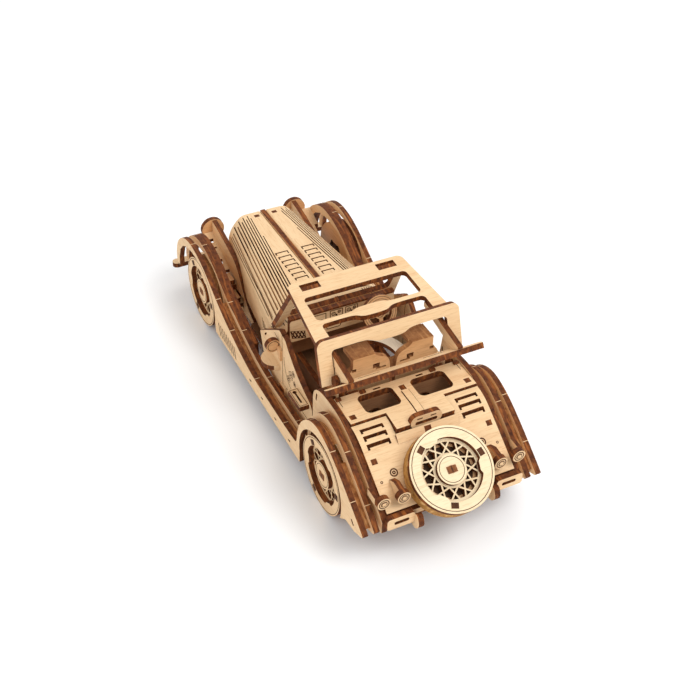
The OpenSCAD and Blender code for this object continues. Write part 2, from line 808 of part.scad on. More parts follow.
module roof_rear_bar() {
    color(BROWN) translate([0, 68.8, 70.4]) rotate([bar_tilt, 0, 0]) translate([0, 0, -ply])
        linear_extrude(ply)
        difference() {
            union() {
                box_outline([-43.5, -3.4], [43.5, 0], 0.8);
                box_outline([-31.6, -8.6], [31.6, -1]);
            }
            for (s = [-1, 1])
                box_outline([s * 18 - 6, -6.4], [s * 18 + 6, -5.6]);
        }
}

// ---------------------------------------------------------------- steering

// Places children with +Z along the steering column, towards the driver
module at_helm() {
    translate(helm) rotate([-90 + helm_tilt, 0, 0]) children();
}

module steering_wheel() {
    color(AMBER) at_helm() difference() {
        linear_extrude(2.6) union() {
            difference() {
                circle(helm_r);
                circle(helm_r - 3);
            }
            circle(3.4);
            for (a = [90, 210, 330])
                rotate(a) translate([2, -1.1]) square([helm_r - 3.5, 2.2]);
        }
        translate([0, 0, -1]) cylinder(r = column_r, h = 2.4);
    }
}

module steering_column() {
    color(STEEL) at_helm() translate([0, 0, -24.3]) cylinder(r = column_r, h = 25.65);
}

module knuckle() {
    in_x = 28.6;
    web_x = kingpin_x + 3.9;
    lug = [web_x + 2.1 - in_x, 8, knuckle_lug_z];
    top_z = beam_z + beam_h + knuckle_gap;
    low_z = beam_z - knuckle_gap - knuckle_lug_z;
    color(AMBER) {
        translate([in_x, front_axle_y - 4, top_z]) cube(lug);
        translate([in_x, front_axle_y - 4, low_z]) cube(lug);
        translate([web_x, front_axle_y - 4, low_z]) cube([2.1, 8, top_z + knuckle_lug_z - low_z]);
        translate([in_x, front_axle_y + 3.9, low_z]) cube([5.4, arm_y - 1.4, knuckle_lug_z]);
    }
    color(STEEL) {
        translate([kingpin_x, front_axle_y, low_z]) cylinder(r = kingpin_r, h = top_z + knuckle_lug_z - low_z);
        translate([web_x + 0.5, front_axle_y, axle_z]) rotate([0, 90, 0])
            cylinder(r = axle_r, h = wheel_face_x - 0.4 - web_x - 0.5);
        translate([31.3, front_axle_y + arm_y, tie_z]) cylinder(r = tie_pin_r, h = low_z - tie_z + 1);
    }
}

module knuckle_left() {
    knuckle();
}

module knuckle_right() {
    mirror([1, 0, 0]) knuckle();
}

module tie_rod() {
    color(AMBER) difference() {
        translate([-34, front_axle_y + arm_y - 3.2, tie_z]) cube([68, 6.4, tie_h]);
        for (s = [-1, 1])
            translate([s * 31.3 - tie_pin_r - 0.3, front_axle_y + arm_y - tie_pin_r - 0.7, tie_z - 1])
                cube([2 * tie_pin_r + 0.6, 2 * tie_pin_r + 1.4, tie_h + 2]);
    }
}

// ---------------------------------------------------------------- wheels

// Wire spokes: each runs from the hub ring to the rim, leaning one way or the other
module wires() {
    for (i = [0:wire_count - 1]) for (lean = [-52, 52])
        rotate(i * 360 / wire_count + lean / 4) translate([hub_r - 0.5, 0]) rotate(lean)
            translate([0, -wire_w / 2]) square([9.4, wire_w]);
}

// Rim seen from outside: lugged front ring, spoke disc behind it and hub disc, one glued stack
module rim(r, w, sheet) {
    union() {
        translate([0, 0, w - sheet]) linear_extrude(sheet) difference() {
            circle(r - 0.02);
            difference() {
                circle(15.7);
                for (a = [0:120:240])
                    rotate(a) hull() {
                        translate([14.2, -2.2]) square([4, 4.4]);
                        translate([16, -5]) square([2, 10]);
                    }
            }
        }
        translate([0, 0, w - 2 * sheet]) linear_extrude(sheet + eps) difference() {
            circle(r - 2.2);
            difference() {
                circle(window_r);
                circle(hub_r);
                wires();
            }
            circle(bore_r);
        }
        translate([0, 0, w - sheet]) linear_extrude(sheet * 0.8) difference() {
            circle(7.4);
            circle(bore_r);
        }
    }
}

module tyre(r, w, sheet) {
    difference() {
        cylinder(r = r, h = w - sheet - 0.02);
        translate([0, 0, w - 2 * sheet]) cylinder(r = r - 2.18, h = sheet);
        translate([0, 0, -1]) cylinder(r = 12.5, h = w);
    }
    // Back plate with the bearing bore
    difference() {
        cylinder(r = 12.6, h = 2.8);
        translate([0, 0, -1]) cylinder(r = bore_r, h = 5);
        for (a = [0:60:300])
            rotate(a) translate([8, 0, -1]) cylinder(r = 2, h = 5);
    }
}

module at_wheel(side, y) {
    translate([side * wheel_in_x, y, axle_z]) rotate([0, side * 90, 0]) rotate(side > 0 ? 34 : -34) children();
}

module tyre_front_left() {
    color(AMBER) at_wheel(1, front_axle_y) tyre(wheel_r, wheel_w, rim_sheet);
}

module tyre_front_right() {
    color(AMBER) at_wheel(-1, front_axle_y) tyre(wheel_r, wheel_w, rim_sheet);
}

module tyre_rear_left() {
    color(AMBER) at_wheel(1, rear_axle_y) tyre(wheel_r, wheel_w, rim_sheet);
}

module tyre_rear_right() {
    color(AMBER) at_wheel(-1, rear_axle_y) tyre(wheel_r, wheel_w, rim_sheet);
}

module rim_front_left() {
    color(LIGHT) at_wheel(1, front_axle_y) rim(wheel_r, wheel_w, rim_sheet);
}

module rim_front_right() {
    color(LIGHT) at_wheel(-1, front_axle_y) rim(wheel_r, wheel_w, rim_sheet);
}

module rim_rear_left() {
    color(LIGHT) at_wheel(1, rear_axle_y) rim(wheel_r, wheel_w, rim_sheet);
}

module rim_rear_right() {
    color(LIGHT) at_wheel(-1, rear_axle_y) rim(wheel_r, wheel_w, rim_sheet);
}

module spare_tyre() {
    color(AMBER) at_spare() translate([0, 0, -spare_w]) tyre(spare_r, spare_w, rim_sheet);
}

module spare_rim() {
    color(LIGHT) at_spare() translate([0, 0, -spare_w]) rotate(49) rim(spare_r, spare_w, rim_sheet);
}

chassis_floor();
chassis_rails();
front_axle_beam();
radiator_grille();
radiator_shell();
bonnet_rib();
firewall();
bonnet_sides();
scuttle_top();
dashboard();
body_side_left();
body_side_right();
quarter_left();
quarter_right();
rear_deck();
tail_lamps();
lamp_brackets();
rear_bumpers();
spare_spindle();
wing_outer_left();
wing_outer_right();
wing_infills();
wing_middle_left();
wing_middle_right();
wing_inners();
wing_stays();
headlamps();
front_bumper();
seat_left();
seat_right();
console_band();
windscreen_frame();
rear_axle();
bulkhead();
overriders();
boot_lid();
boot_handle();
bonnet_left();
bonnet_right();
door_left();
door_right();
roof_panel();
roof_rear_frame();
roof_arms();
roof_rear_bar();
steering_wheel();
steering_column();
knuckle_left();
knuckle_right();
tie_rod();
tyre_front_left();
rim_front_left();
tyre_front_right();
rim_front_right();
tyre_rear_left();
rim_rear_left();
tyre_rear_right();
rim_rear_right();
spare_tyre();
spare_rim();
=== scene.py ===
import json
import math
import bpy
from mathutils import Matrix, Vector
from mathutils.bvhtree import BVHTree


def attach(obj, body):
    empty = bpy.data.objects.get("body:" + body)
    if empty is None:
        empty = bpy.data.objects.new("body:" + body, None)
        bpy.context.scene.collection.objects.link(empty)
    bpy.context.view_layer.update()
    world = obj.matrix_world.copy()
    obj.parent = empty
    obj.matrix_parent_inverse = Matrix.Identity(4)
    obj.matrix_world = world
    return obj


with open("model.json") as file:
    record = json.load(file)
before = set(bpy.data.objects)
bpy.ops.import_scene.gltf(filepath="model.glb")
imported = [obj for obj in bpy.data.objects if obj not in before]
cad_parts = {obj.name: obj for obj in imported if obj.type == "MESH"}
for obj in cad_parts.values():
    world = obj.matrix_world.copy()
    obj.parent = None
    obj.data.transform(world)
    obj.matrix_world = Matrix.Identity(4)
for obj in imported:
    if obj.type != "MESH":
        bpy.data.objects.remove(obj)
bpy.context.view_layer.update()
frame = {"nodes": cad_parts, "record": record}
NODES = frame["nodes"]
BODY_OF = {n: b for b, ns in frame["record"]["behaviour"]["bodies"].items() for n in ns}
CAR = "car"

# ---------------------------------------------------------------- places, in mm in the CAD frame

MM = 0.001
X, Y, Z = Vector((1, 0, 0)), Vector((0, 1, 0)), Vector((0, 0, 1))
FRONT_AXLE_Y, REAR_AXLE_Y, AXLE_Z = -91, 74.7, 21
WHEEL_FACE_X, TYRE_MID_X = 48.6, 41
SPARE_FACE, SPARE_HALF = Vector((0, 116.85, 43.74)), 7.5
DASH_FACE_Y = -1.2
LID_TOP_Z = 54.2
BODY_SIDE_X = 38
WING_FACE_X = 49.4
HANDLE_FACE_Y = 90.55
MIRROR_FACE = (41.5, 1.0, 46)
ROOF_TILT, SPARE_TILT, REAR_FRAME_TILT, SCREEN_TILT, BAR_TILT, HELM_TILT = (
    math.radians(a) for a in (4.4, 56.1, 17.7, 28.2, 33, 20))
SIDES = ((1, "left"), (-1, "right"))


def tilted(angle):
    """Direction in the car's middle plane, towards the rear and up by an angle."""
    return Vector((0, math.cos(angle), math.sin(angle)))


ROOF_N = Vector((0, math.sin(ROOF_TILT), math.cos(ROOF_TILT)))
BAR_N = Vector((0, -math.sin(BAR_TILT), math.cos(BAR_TILT)))
SPARE_N, REAR_FRAME_N, HELM_N = tilted(SPARE_TILT), tilted(REAR_FRAME_TILT), tilted(HELM_TILT)
SCREEN_N = tilted(-SCREEN_TILT)
HELM_FACE = Vector((-16.5, 8, 55.2)) + HELM_N * 2.6

# ---------------------------------------------------------------- camera, in metres

CAMERA_PLACE = Vector((0.22437, 0.44035, 0.44263))
AZIMUTH, ELEVATION, ROLL = (math.radians(a) for a in (152.547, 39.981, 1.662))
back = Vector((
    math.sin(AZIMUTH) * math.cos(ELEVATION),
    -math.cos(AZIMUTH) * math.cos(ELEVATION),
    math.sin(ELEVATION)))
right = (-back).cross(Z).normalized()
up = right.cross(-back)
cam_x = right * math.cos(ROLL) + up * math.sin(ROLL)
cam_y = -right * math.sin(ROLL) + up * math.cos(ROLL)
cam_data = bpy.data.cameras.new("camera")
cam_data.lens = 60.52
cam_data.sensor_width = 36
cam_data.clip_start = 0.01
cam_data.clip_end = 20
cam = bpy.data.objects.new("camera", cam_data)
bpy.context.collection.objects.link(cam)
cam.matrix_world = Matrix((
    (cam_x.x, cam_y.x, back.x, CAMERA_PLACE.x),
    (cam_x.y, cam_y.y, back.y, CAMERA_PLACE.y),
    (cam_x.z, cam_y.z, back.z, CAMERA_PLACE.z),
    (0, 0, 0, 1)))
bpy.context.scene.camera = cam

# ---------------------------------------------------------------- material builders


def lin(*screen):
    """Linear colour with alpha, from screen values between 0 and 255."""
    parts = [c / 255 for c in screen]
    return tuple(c / 12.92 if c <= 0.04045 else ((c + 0.055) / 1.055) ** 2.4 for c in parts) + (1,)


def new_material(name, rough):
    m = bpy.data.materials.new(name)
    m.use_nodes = True
    b = m.node_tree.nodes["Principled BSDF"]
    b.inputs["Roughness"].default_value = rough
    b.inputs["Specular IOR Level"].default_value = 0.22
    return m, m.node_tree, b


def coords(t, scale):
    c = t.nodes.new("ShaderNodeTexCoord")
    m = t.nodes.new("ShaderNodeMapping")
    m.inputs["Scale"].default_value = scale
    t.links.new(c.outputs["Object"], m.inputs["Vector"])
    return m.outputs["Vector"]


def noise(t, vec, scale, detail, rough=0.5):
    n = t.nodes.new("ShaderNodeTexNoise")
    n.inputs["Scale"].default_value = scale
    n.inputs["Detail"].default_value = detail
    n.inputs["Roughness"].default_value = rough
    t.links.new(vec, n.inputs["Vector"])
    return n.outputs["Fac"]


def ramp(t, fac, stops):
    r = t.nodes.new("ShaderNodeValToRGB")
    elements = r.color_ramp.elements
    while len(elements) < len(stops):
        elements.new(0.5)
    for e, (position, colour) in zip(elements, stops):
        e.position = position
        e.color = colour
    t.links.new(fac, r.inputs["Fac"])
    return r.outputs["Color"]


def mix(t, fac, a, b, mode="MIX"):
    """Mix two colours; fac is a number or a socket, a and b are sockets or plain colours."""
    m = t.nodes.new("ShaderNodeMix")
    m.data_type = "RGBA"
    m.blend_type = mode
    for socket, value in ((m.inputs[0], fac), (m.inputs[6], a), (m.inputs[7], b)):
        if isinstance(value, (float, tuple)):
            socket.default_value = value
        else:
            t.links.new(value, socket)
    return m.outputs[2]


def bump(t, b, height, strength, distance):
    n = t.nodes.new("ShaderNodeBump")
    n.inputs["Strength"].default_value = strength
    n.inputs["Distance"].default_value = distance
    t.links.new(height, n.inputs["Height"])
    t.links.new(n.outputs["Normal"], b.inputs["Normal"])


def wood_face(name, along, light, mid, dark, rough=0.55):
    """Sawn birch veneer with the grain along one axis, in broad tones and fine fibres."""
    m, t, b = new_material(name, rough)
    stretch = [1.0, 1.0, 1.0]
    stretch[along] = 0.09
    grain = coords(t, tuple(stretch))
    broad = noise(t, grain, 150, 3, 0.55)
    fine = noise(t, grain, 1500, 4, 0.65)
    tones = ramp(t, broad, [(0.30, mid), (0.52, light), (0.75, mid)])
    fibres = ramp(t, fine, [(0.36, dark), (0.50, light), (0.72, light)])
    colour = mix(t, 0.30, tones, fibres)
    patches = noise(t, coords(t, (1, 1, 1)), 22, 2)
    shade = ramp(t, patches, [(0.3, (0.93, 0.90, 0.86, 1)), (0.7, (1.03, 1.02, 1.0, 1))])
    colour = mix(t, 1.0, colour, shade, "MULTIPLY")
    t.links.new(colour, b.inputs["Base Color"])
    bump(t, b, fine, 0.12, 0.00005)
    return m


def wood_edge(name, dark, warm, highlight_and_ply):
    """Laser-burnt edge: chocolate brown, mottled, streaked lengthwise with lighter orange: painted
    highlight where the curved edges catch the light, partly the lighter ply layers.
    """
    m, t, b = new_material(name, 0.75)
    mottle = noise(t, coords(t, (1, 1, 1)), 420, 4, 0.6)
    colour = ramp(t, mottle, [(0.32, dark), (0.68, warm)])
    # streaks towards the third colour: painted highlight on the curved sheet edges, partly the lighter
    # middle ply layers
    streaks = noise(t, coords(t, (1, 0.06, 0.3)), 700, 2)
    mask = ramp(t, streaks, [(0.52, (0, 0, 0, 1)), (0.68, (0.8, 0.8, 0.8, 1))])
    t.links.new(mix(t, mask, colour, highlight_and_ply), b.inputs["Base Color"])
    bump(t, b, mottle, 0.25, 0.0001)
    return m


def veneers(name, light, mid, dark, rough=0.55):
    """One veneer material for each direction of the grain: 0 across, 1 lengthwise, 2 upright."""
    return {i: wood_face("%s_face_%s" % (name, "xyz"[i]), i, light, mid, dark, rough) for i in (0, 1, 2)}


# ---------------------------------------------------------------- materials

FACE = veneers("ply", lin(232, 199, 156), lin(221, 182, 137), lin(186, 137, 89))
AMBER = veneers("amber", lin(220, 174, 126), lin(202, 152, 104), lin(156, 106, 64), 0.5)
PALE = wood_face("pale_face", 1, lin(240, 226, 204), lin(228, 210, 184), lin(190, 168, 140))
# the third colour of each edge material is its painted highlight streak, partly the lighter ply layers
EDGE = wood_edge("burnt_edge", lin(68, 31, 11), lin(114, 60, 24), lin(154, 88, 38))
EDGE_AMBER = wood_edge("amber_edge", lin(122, 72, 36), lin(176, 118, 66), lin(210, 160, 104))
EDGE_GOLD = wood_edge("gold_edge", lin(150, 100, 46), lin(196, 146, 78), lin(226, 182, 118))
SEAT_TOP = wood_edge("seat_top", lin(124, 76, 40), lin(158, 106, 62), lin(176, 124, 76))
PLUG = wood_edge("plug_end", lin(104, 60, 32), lin(140, 88, 52), lin(160, 108, 68))
BURN = wood_edge("burn_line", lin(60, 32, 16), lin(92, 54, 30), lin(92, 54, 30))
DARK = wood_edge("dark_inside", lin(54, 34, 20), lin(86, 56, 34), lin(86, 56, 34))
# lighter copy of the ply veneer for the spare wheel's rim: painted light, for a face turned more towards
# the lamps
SPARE_LIT = wood_face("spare_face", 0, lin(242, 222, 186), lin(234, 208, 168), lin(198, 156, 110))
# dark brown veneer for the floor, rails, firewall and bulkhead: amber wood tone darkened with painted shade
# for the shadowed inside of the car
INNER_SHADED = veneers("inner", lin(150, 106, 72), lin(128, 88, 58), lin(92, 60, 38))
DOWEL = wood_face("dowel", 0, lin(222, 184, 134), lin(206, 164, 112), lin(164, 118, 74), 0.45)

# ---------------------------------------------------------------- dressing the CAD nodes

# node: (sheet normals, grain direction, face materials, edge material)
LOOK = {
    "chassis_floor": ([Z], 1, INNER_SHADED, EDGE), "chassis_rails": ([X], 1, INNER_SHADED, EDGE),
    "front_axle_beam": ([Z], 0, AMBER, EDGE), "radiator_grille": ([Y], 2, AMBER, EDGE),
    "radiator_shell": ([Y], 2, FACE, EDGE), "bonnet_rib": ([X], 1, FACE, EDGE),
    "firewall": ([Y], 0, INNER_SHADED, EDGE), "bonnet_sides": (None, 1, FACE, EDGE),
    "scuttle_top": (None, 0, FACE, EDGE), "dashboard": ([Y], 0, FACE, EDGE),
    "body_side_left": ([X], 1, FACE, EDGE), "body_side_right": ([X], 1, FACE, EDGE),
    "quarter_left": ([X], 1, FACE, EDGE), "quarter_right": ([X], 1, FACE, EDGE),
    "rear_deck": (None, 0, FACE, EDGE), "tail_lamps": ([Y], 0, FACE, EDGE),
    "lamp_brackets": ([X], 1, FACE, EDGE), "rear_bumpers": ([Y], 0, FACE, EDGE),
    "overriders": ([X], 2, FACE, EDGE), "spare_spindle": (None, 0, FACE, EDGE),
    "wing_outer_left": ([X], 1, FACE, EDGE), "wing_outer_right": ([X], 1, FACE, EDGE),
    "wing_infills": ([X], 1, AMBER, EDGE_AMBER), "wing_middle_left": ([X], 1, FACE, EDGE),
    "wing_middle_right": ([X], 1, FACE, EDGE), "wing_inners": ([X], 1, FACE, EDGE),
    "wing_stays": ([X], 1, FACE, EDGE), "headlamps": ([Y], 0, FACE, EDGE),
    "front_bumper": ([Z], 0, FACE, EDGE), "seat_left": ([Y], 0, AMBER, SEAT_TOP),
    "seat_right": ([Y], 0, AMBER, SEAT_TOP), "bulkhead": ([Y], 0, INNER_SHADED, EDGE),
    "console_band": ([Z], 1, {1: PALE}, EDGE), "windscreen_frame": ([SCREEN_N], 0, FACE, EDGE),
    "rear_axle": (None, 0, {0: DOWEL}, EDGE), "boot_lid": ([Z], 0, FACE, EDGE),
    "boot_handle": ([Y], 0, FACE, EDGE), "bonnet_left": (None, 1, FACE, EDGE),
    "bonnet_right": (None, 1, FACE, EDGE), "door_left": ([X], 1, FACE, EDGE),
    "door_right": ([X], 1, FACE, EDGE), "roof_panel": ([ROOF_N], 0, FACE, EDGE),
    "roof_rear_frame": ([REAR_FRAME_N], 0, FACE, EDGE), "roof_arms": ([X], 1, FACE, EDGE),
    "roof_rear_bar": ([BAR_N], 0, FACE, EDGE), "steering_wheel": ([HELM_N], 0, AMBER, EDGE),
    "steering_column": (None, 1, {1: DOWEL}, EDGE), "knuckle_left": ([Z], 1, AMBER, EDGE),
    "knuckle_right": ([Z], 1, AMBER, EDGE), "tie_rod": ([Z], 0, AMBER, EDGE),
    "spare_tyre": ([SPARE_N], 0, AMBER, EDGE_GOLD), "spare_rim": ([SPARE_N], 0, {0: SPARE_LIT}, EDGE),
}

# road wheel: (side, axle's y)
WHEELS = {"front_left": (1, FRONT_AXLE_Y), "front_right": (-1, FRONT_AXLE_Y),
          "rear_left": (1, REAR_AXLE_Y), "rear_right": (-1, REAR_AXLE_Y)}
HUBS = {"spare_tyre": SPARE_FACE - SPARE_N * SPARE_HALF}
for corner, (side, axle_y) in WHEELS.items():
    LOOK["tyre_" + corner] = ([X], 1, AMBER, EDGE_AMBER)
    LOOK["rim_" + corner] = ([X], 1, FACE, EDGE)
    HUBS["tyre_" + corner] = Vector((side * TYRE_MID_X, axle_y, AXLE_Z))
RIM_REACH = 15.5

BENT = {"bonnet_left", "bonnet_right", "bonnet_sides"}


def is_sheet_face(name, n, c):
    """True where a polygon belongs to a sheet's face, False on a laser-cut edge; c in mm."""
    axes = LOOK[name][0]
    outside_body = abs(c.x) > BODY_SIDE_X + 0.05
    if name == "rear_deck":
        upper_side = abs(n.x) < 0.5 and n.z > 0.3 and c.z > 29
        valance = c.y > 119 and n.y > 0.9
        return upper_side or valance
    if name == "scuttle_top":
        return abs(n.y) < 0.5
    if name in BENT:
        beside_rib = abs(n.x) > 0.97 and abs(c.x) < 21 and c.z > 44
        return abs(n.y) < 0.3 and n.z > -0.2 and not beside_rib
    if axes is None:
        return True
    if name.startswith("body_side") and outside_body:
        return abs(n.z) > 0.9 or abs(n.y) > 0.9
    if name.startswith("door") and outside_body:
        return n.z > 0.9
    if name == "boot_lid":
        barrel = c.y < 59.5
        corner_plug = abs(c.x) > 30 and abs(c.z - LID_TOP_Z + 0.3) < 0.05
        if barrel or corner_plug:
            return False
    # the dashboard's top rail takes the dark edge material on its faces too: painted shade
    if name == "dashboard" and c.z > 57.35:
        return False
    if name == "wing_stays":
        brace = abs(c.x) > 27.8 and n.z > 0.6
        return abs(n.x) > 0.9 or brace
    return any(abs(n.dot(a)) > 0.9 for a in axes)


def dress(name, obj):
    """Give a node its face, edge and third material, polygon by polygon."""
    _, grain, faces, edge = LOOK[name]
    me = obj.data
    me.materials.clear()
    for material in (faces[grain], edge, DARK if "tyre" in name else AMBER[0]):
        me.materials.append(material)
    for p in me.polygons:
        c = p.center / MM
        p.material_index = 0 if is_sheet_face(name, p.normal, c) else 1
        if name == "body_side_left" and c.x > BODY_SIDE_X + 0.1 and c.z > 41.5:
            p.material_index = 2 if abs(p.normal.y) > 0.9 else 1
        # headlamp back faces take the amber veneer as painted shade
        if name == "headlamps" and p.normal.y > 0.9:
            p.material_index = 2
        if name in HUBS:
            reach = max((me.vertices[v].co / MM - HUBS[name]).length for v in p.vertices)
            if reach < RIM_REACH:
                p.material_index = 2


for node_name, node_obj in NODES.items():
    dress(node_name, node_obj)

# ---------------------------------------------------------------- detail builders

SINK = -0.1
PROUD = 0.06


def join_object(name, verts, faces, material, body):
    """Mesh object that rides on a body."""
    me = bpy.data.meshes.new(name)
    me.from_pydata([tuple(v) for v in verts], [], faces)
    me.update()
    me.materials.append(material)
    o = bpy.data.objects.new(name, me)
    bpy.context.collection.objects.link(o)
    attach(o, body)


class Sketch:
    """Thin closed solids drawn on a plane, in mm; heights run along the plane's normal."""

    def __init__(self, origin, u, v):
        self.o = Vector(origin) * MM
        self.u = Vector(u).normalized()
        self.v = Vector(v).normalized()
        self.n = self.u.cross(self.v)
        self.verts = []
        self.faces = []

    def at(self, x, y, h):
        return self.o + (self.u * x + self.v * y + self.n * h) * MM

    def prism(self, loop, low, high):
        k, n = len(self.verts), len(loop)
        ahead = [loop[(i + 1) % n] for i in range(n)]
        area = sum(p[0] * q[1] - q[0] * p[1] for p, q in zip(loop, ahead))
        if area < 0:
            loop = loop[::-1]
        for h in (low, high):
            self.verts += [self.at(x, y, h) for x, y in loop]
        self.faces += [tuple(k + n - 1 - i for i in range(n)), tuple(k + n + i for i in range(n))]
        for i in range(n):
            j = (i + 1) % n
            self.faces.append((k + i, k + j, k + n + j, k + n + i))

    def line(self, a, b, w):
        a, b = Vector(a), Vector(b)
        d = (b - a).normalized()
        s = Vector((-d.y, d.x)) * (w / 2)
        self.prism([a - s, b - s, b + s, a + s], SINK, PROUD)

    def path(self, pts, w, closed=False):
        n = len(pts)
        for i in range(n if closed else n - 1):
            self.line(pts[i], pts[(i + 1) % n], w)

    def rect(self, x0, y0, x1, y1, low=SINK, high=PROUD):
        self.prism([(x0, y0), (x1, y0), (x1, y1), (x0, y1)], low, high)

    def frame(self, x0, y0, x1, y1, w):
        self.path([(x0, y0), (x1, y0), (x1, y1), (x0, y1)], w, True)

    def disc(self, cx, cy, r, n=20):
        turns = [2 * math.pi * i / n for i in range(n)]
        self.prism([(cx + r * math.cos(a), cy + r * math.sin(a)) for a in turns], SINK, PROUD)

    def ring(self, cx, cy, r0, r1, low=SINK, high=PROUD, n=48):
        k = len(self.verts)
        for i in range(n):
            a = 2 * math.pi * i / n
            for r, h in ((r0, low), (r1, low), (r1, high), (r0, high)):
                self.verts.append(self.at(cx + r * math.cos(a), cy + r * math.sin(a), h))
        for i in range(n):
            a, b = k + 4 * i, k + 4 * ((i + 1) % n)
            for j in range(4):
                m = (j + 1) % 4
                self.faces.append((a + j, a + m, b + m, b + j))

    def make(self, name, material, body):
        join_object(name, self.verts, self.faces, material, body)


def weld(sketches, name, material, body):
    """One object from many sketches."""
    verts, faces = [], []
    for s in sketches:
        k = len(verts)
        verts += s.verts
        faces += [tuple(i + k for i in f) for f in s.faces]
    join_object(name, verts, faces, material, body)


TREES = {}


def hit(name, x, y, z=200.0, d=(0, 0, -1)):
    """Point and normal, in mm, where a ray meets a CAD node's surface."""
    if name not in TREES:
        me = NODES[name].data
        corners = [v.co.copy() for v in me.vertices]
        TREES[name] = BVHTree.FromPolygons(corners, [tuple(p.vertices) for p in me.polygons])
    q, n, _, _ = TREES[name].ray_cast(Vector((x, y, z)) * MM, Vector(d))
    return (None, None) if q is None else (q / MM, n)


def patch(name, x, y):
    """Sketch lying on the top of a node, u to +X and v down the slope's line to the rear."""
    q, n = hit(name, x, y)
    return Sketch(q, X, n.cross(X))


LONGEST_STRETCH = 14


def follow(hits, w, blend):
    """Thin raised line through points of a surface; a miss or a long jump breaks it.

    Each stretch lies square to the normal at its far end, or between both ends' normals with blend.
    """
    out, last = [], None
    for q, n in hits:
        if q is not None and last is not None and (q - last[0]).length < LONGEST_STRETCH:
            u = (q - last[0]).normalized()
            normal = n + last[1] if blend else n
            s = Sketch(last[0], u, normal.normalized().cross(u))
            s.rect(-0.02, -w / 2, (q - last[0]).length + 0.02, w / 2, -0.08, 0.045)
            out.append(s)
        last = None if q is None else (q, n)
    return out


def trace(name, pts, w):
    """Line over a node's top, through plan points."""
    return follow([hit(name, x, y) for x, y in pts], w, True)


def block(name, sides, low, high, body, bevel=0.0):
    """Brown block between two places in x, and two corners in y and z; its edges along X may be cut."""
    x0, x1 = sorted(sides)
    (y0, z0), (y1, z1) = low, high
    outline = [(y0, z0), (y1, z0), (y1, z1), (y0, z1)]
    if bevel:
        outline = [(y0 + bevel, z0), (y1 - bevel, z0), (y1, z0 + bevel), (y1, z1 - bevel),
                   (y1 - bevel, z1), (y0 + bevel, z1), (y0, z1 - bevel), (y0, z0 + bevel)]
    s = Sketch((x0, 0, 0), Y, Z)
    s.prism(outline, 0, x1 - x0)
    s.make(name, EDGE, body)


# ---------------------------------------------------------------- studio, in metres

floor_mesh = bpy.data.meshes.new("floor")
floor_mesh.from_pydata([(-6, -6, 0), (6, -6, 0), (6, 6, 0), (-6, 6, 0)], [], [(0, 1, 2, 3)])
floor_mat, _, floor_shader = new_material("floor", 0.9)
floor_shader.inputs["Base Color"].default_value = (0.95, 0.95, 0.95, 1)
floor_mesh.materials.append(floor_mat)
floor = bpy.data.objects.new("floor", floor_mesh)
bpy.context.collection.objects.link(floor)

world = bpy.data.worlds.new("studio")
world.use_nodes = True
world.node_tree.nodes["Background"].inputs["Color"].default_value = (1, 1, 1, 1)
world.node_tree.nodes["Background"].inputs["Strength"].default_value = 0.72
bpy.context.scene.world = world


def area(name, loc, size, power):
    """Square light that faces the middle of the car."""
    d = bpy.data.lights.new(name, "AREA")
    d.size = size
    d.energy = power
    o = bpy.data.objects.new(name, d)
    o.location = loc
    o.rotation_euler = (-Vector(loc)).to_track_quat("-Z", "Y").to_euler()
    bpy.context.collection.objects.link(o)


area("key", (-0.35, 0.55, 0.9), 0.6, 6.2)
area("fill", (0.9, 0.3, 0.6), 0.9, 2.4)
area("rim", (-0.5, -0.8, 0.7), 0.8, 3.0)
bpy.context.scene.view_settings.view_transform = "Standard"

# ---------------------------------------------------------------- wheels: rings, tab ends, hub plug

HUB_Z = -0.6
TAB_NEAR, TAB_FAR, TAB_HALF = 16.0, 18.9, 1.9


def wheel_marks(name, origin, u, v, turn, body):
    """Marks on a wheel's outer face, with the first tab end turned some degrees from u."""
    s = Sketch(origin, u, v)
    s.ring(0, 0, 20.0, 20.35, -0.05)
    for a in (0, 120, 240):
        t = math.radians(a + turn)
        out, along = Vector((math.cos(t), math.sin(t))), Vector((-math.sin(t), math.cos(t))) * TAB_HALF
        near, far = out * TAB_NEAR, out * TAB_FAR
        s.prism([near - along, far - along, far + along, near + along], -0.05, 0.12)
    s.ring(0, 0, 6.2, 6.5, HUB_Z - 0.05, HUB_Z + PROUD)
    s.make(name, BURN, body)
    plug = Sketch(origin, u, v)
    plug.rect(-2.5, -1.75, 2.5, 1.75, -0.75, -0.25)
    plug.make(name + "_plug", PLUG, body)
    slot = Sketch(origin, u, v)
    slot.rect(-0.35, -1.5, 0.35, 1.5, -0.3, -0.2)
    slot.make(name + "_plug_slot", BURN, body)


for corner, (side, axle_y) in WHEELS.items():
    face = (side * WHEEL_FACE_X, axle_y, AXLE_Z)
    wheel_marks("marks_" + corner, face, Y * side, Z, 124 if side > 0 else 56, BODY_OF["rim_" + corner])
wheel_marks("marks_spare", SPARE_FACE, -X, SPARE_N.cross(-X), 131, BODY_OF["spare_rim"])

# ---------------------------------------------------------------- bonnet and scuttle: cuts and tab ends

FLANK_STEPS = 12


def flank_line(node, side, z, rise, y0, y1):
    """Line along a shell's steep flank, from a height z that rises a little at each step."""
    hits = []
    for i in range(FLANK_STEPS + 1):
        y = y0 + (y1 - y0) * i / FLANK_STEPS
        hits.append(hit(node, side * 60, y, z + rise * i, (-side, 0, 0)))
    return follow(hits, 0.56, False)


for side, tag in SIDES:
    node, body = "bonnet_" + tag, "bonnet_half_" + tag
    lines = flank_line(node, side, 43.6, 0.06, -105, -24)
    lines += flank_line(node, side, 41.9, 0.03, -107, -28)
    weld(lines, node + "_lines", BURN, body)
    tab = patch(node, side * 5.6, -105.6)
    tab.rect(-1.5, -1.2, 1.5, 1.2, -0.3, 0.1)
    tab.make(node + "_tab", EDGE, body)

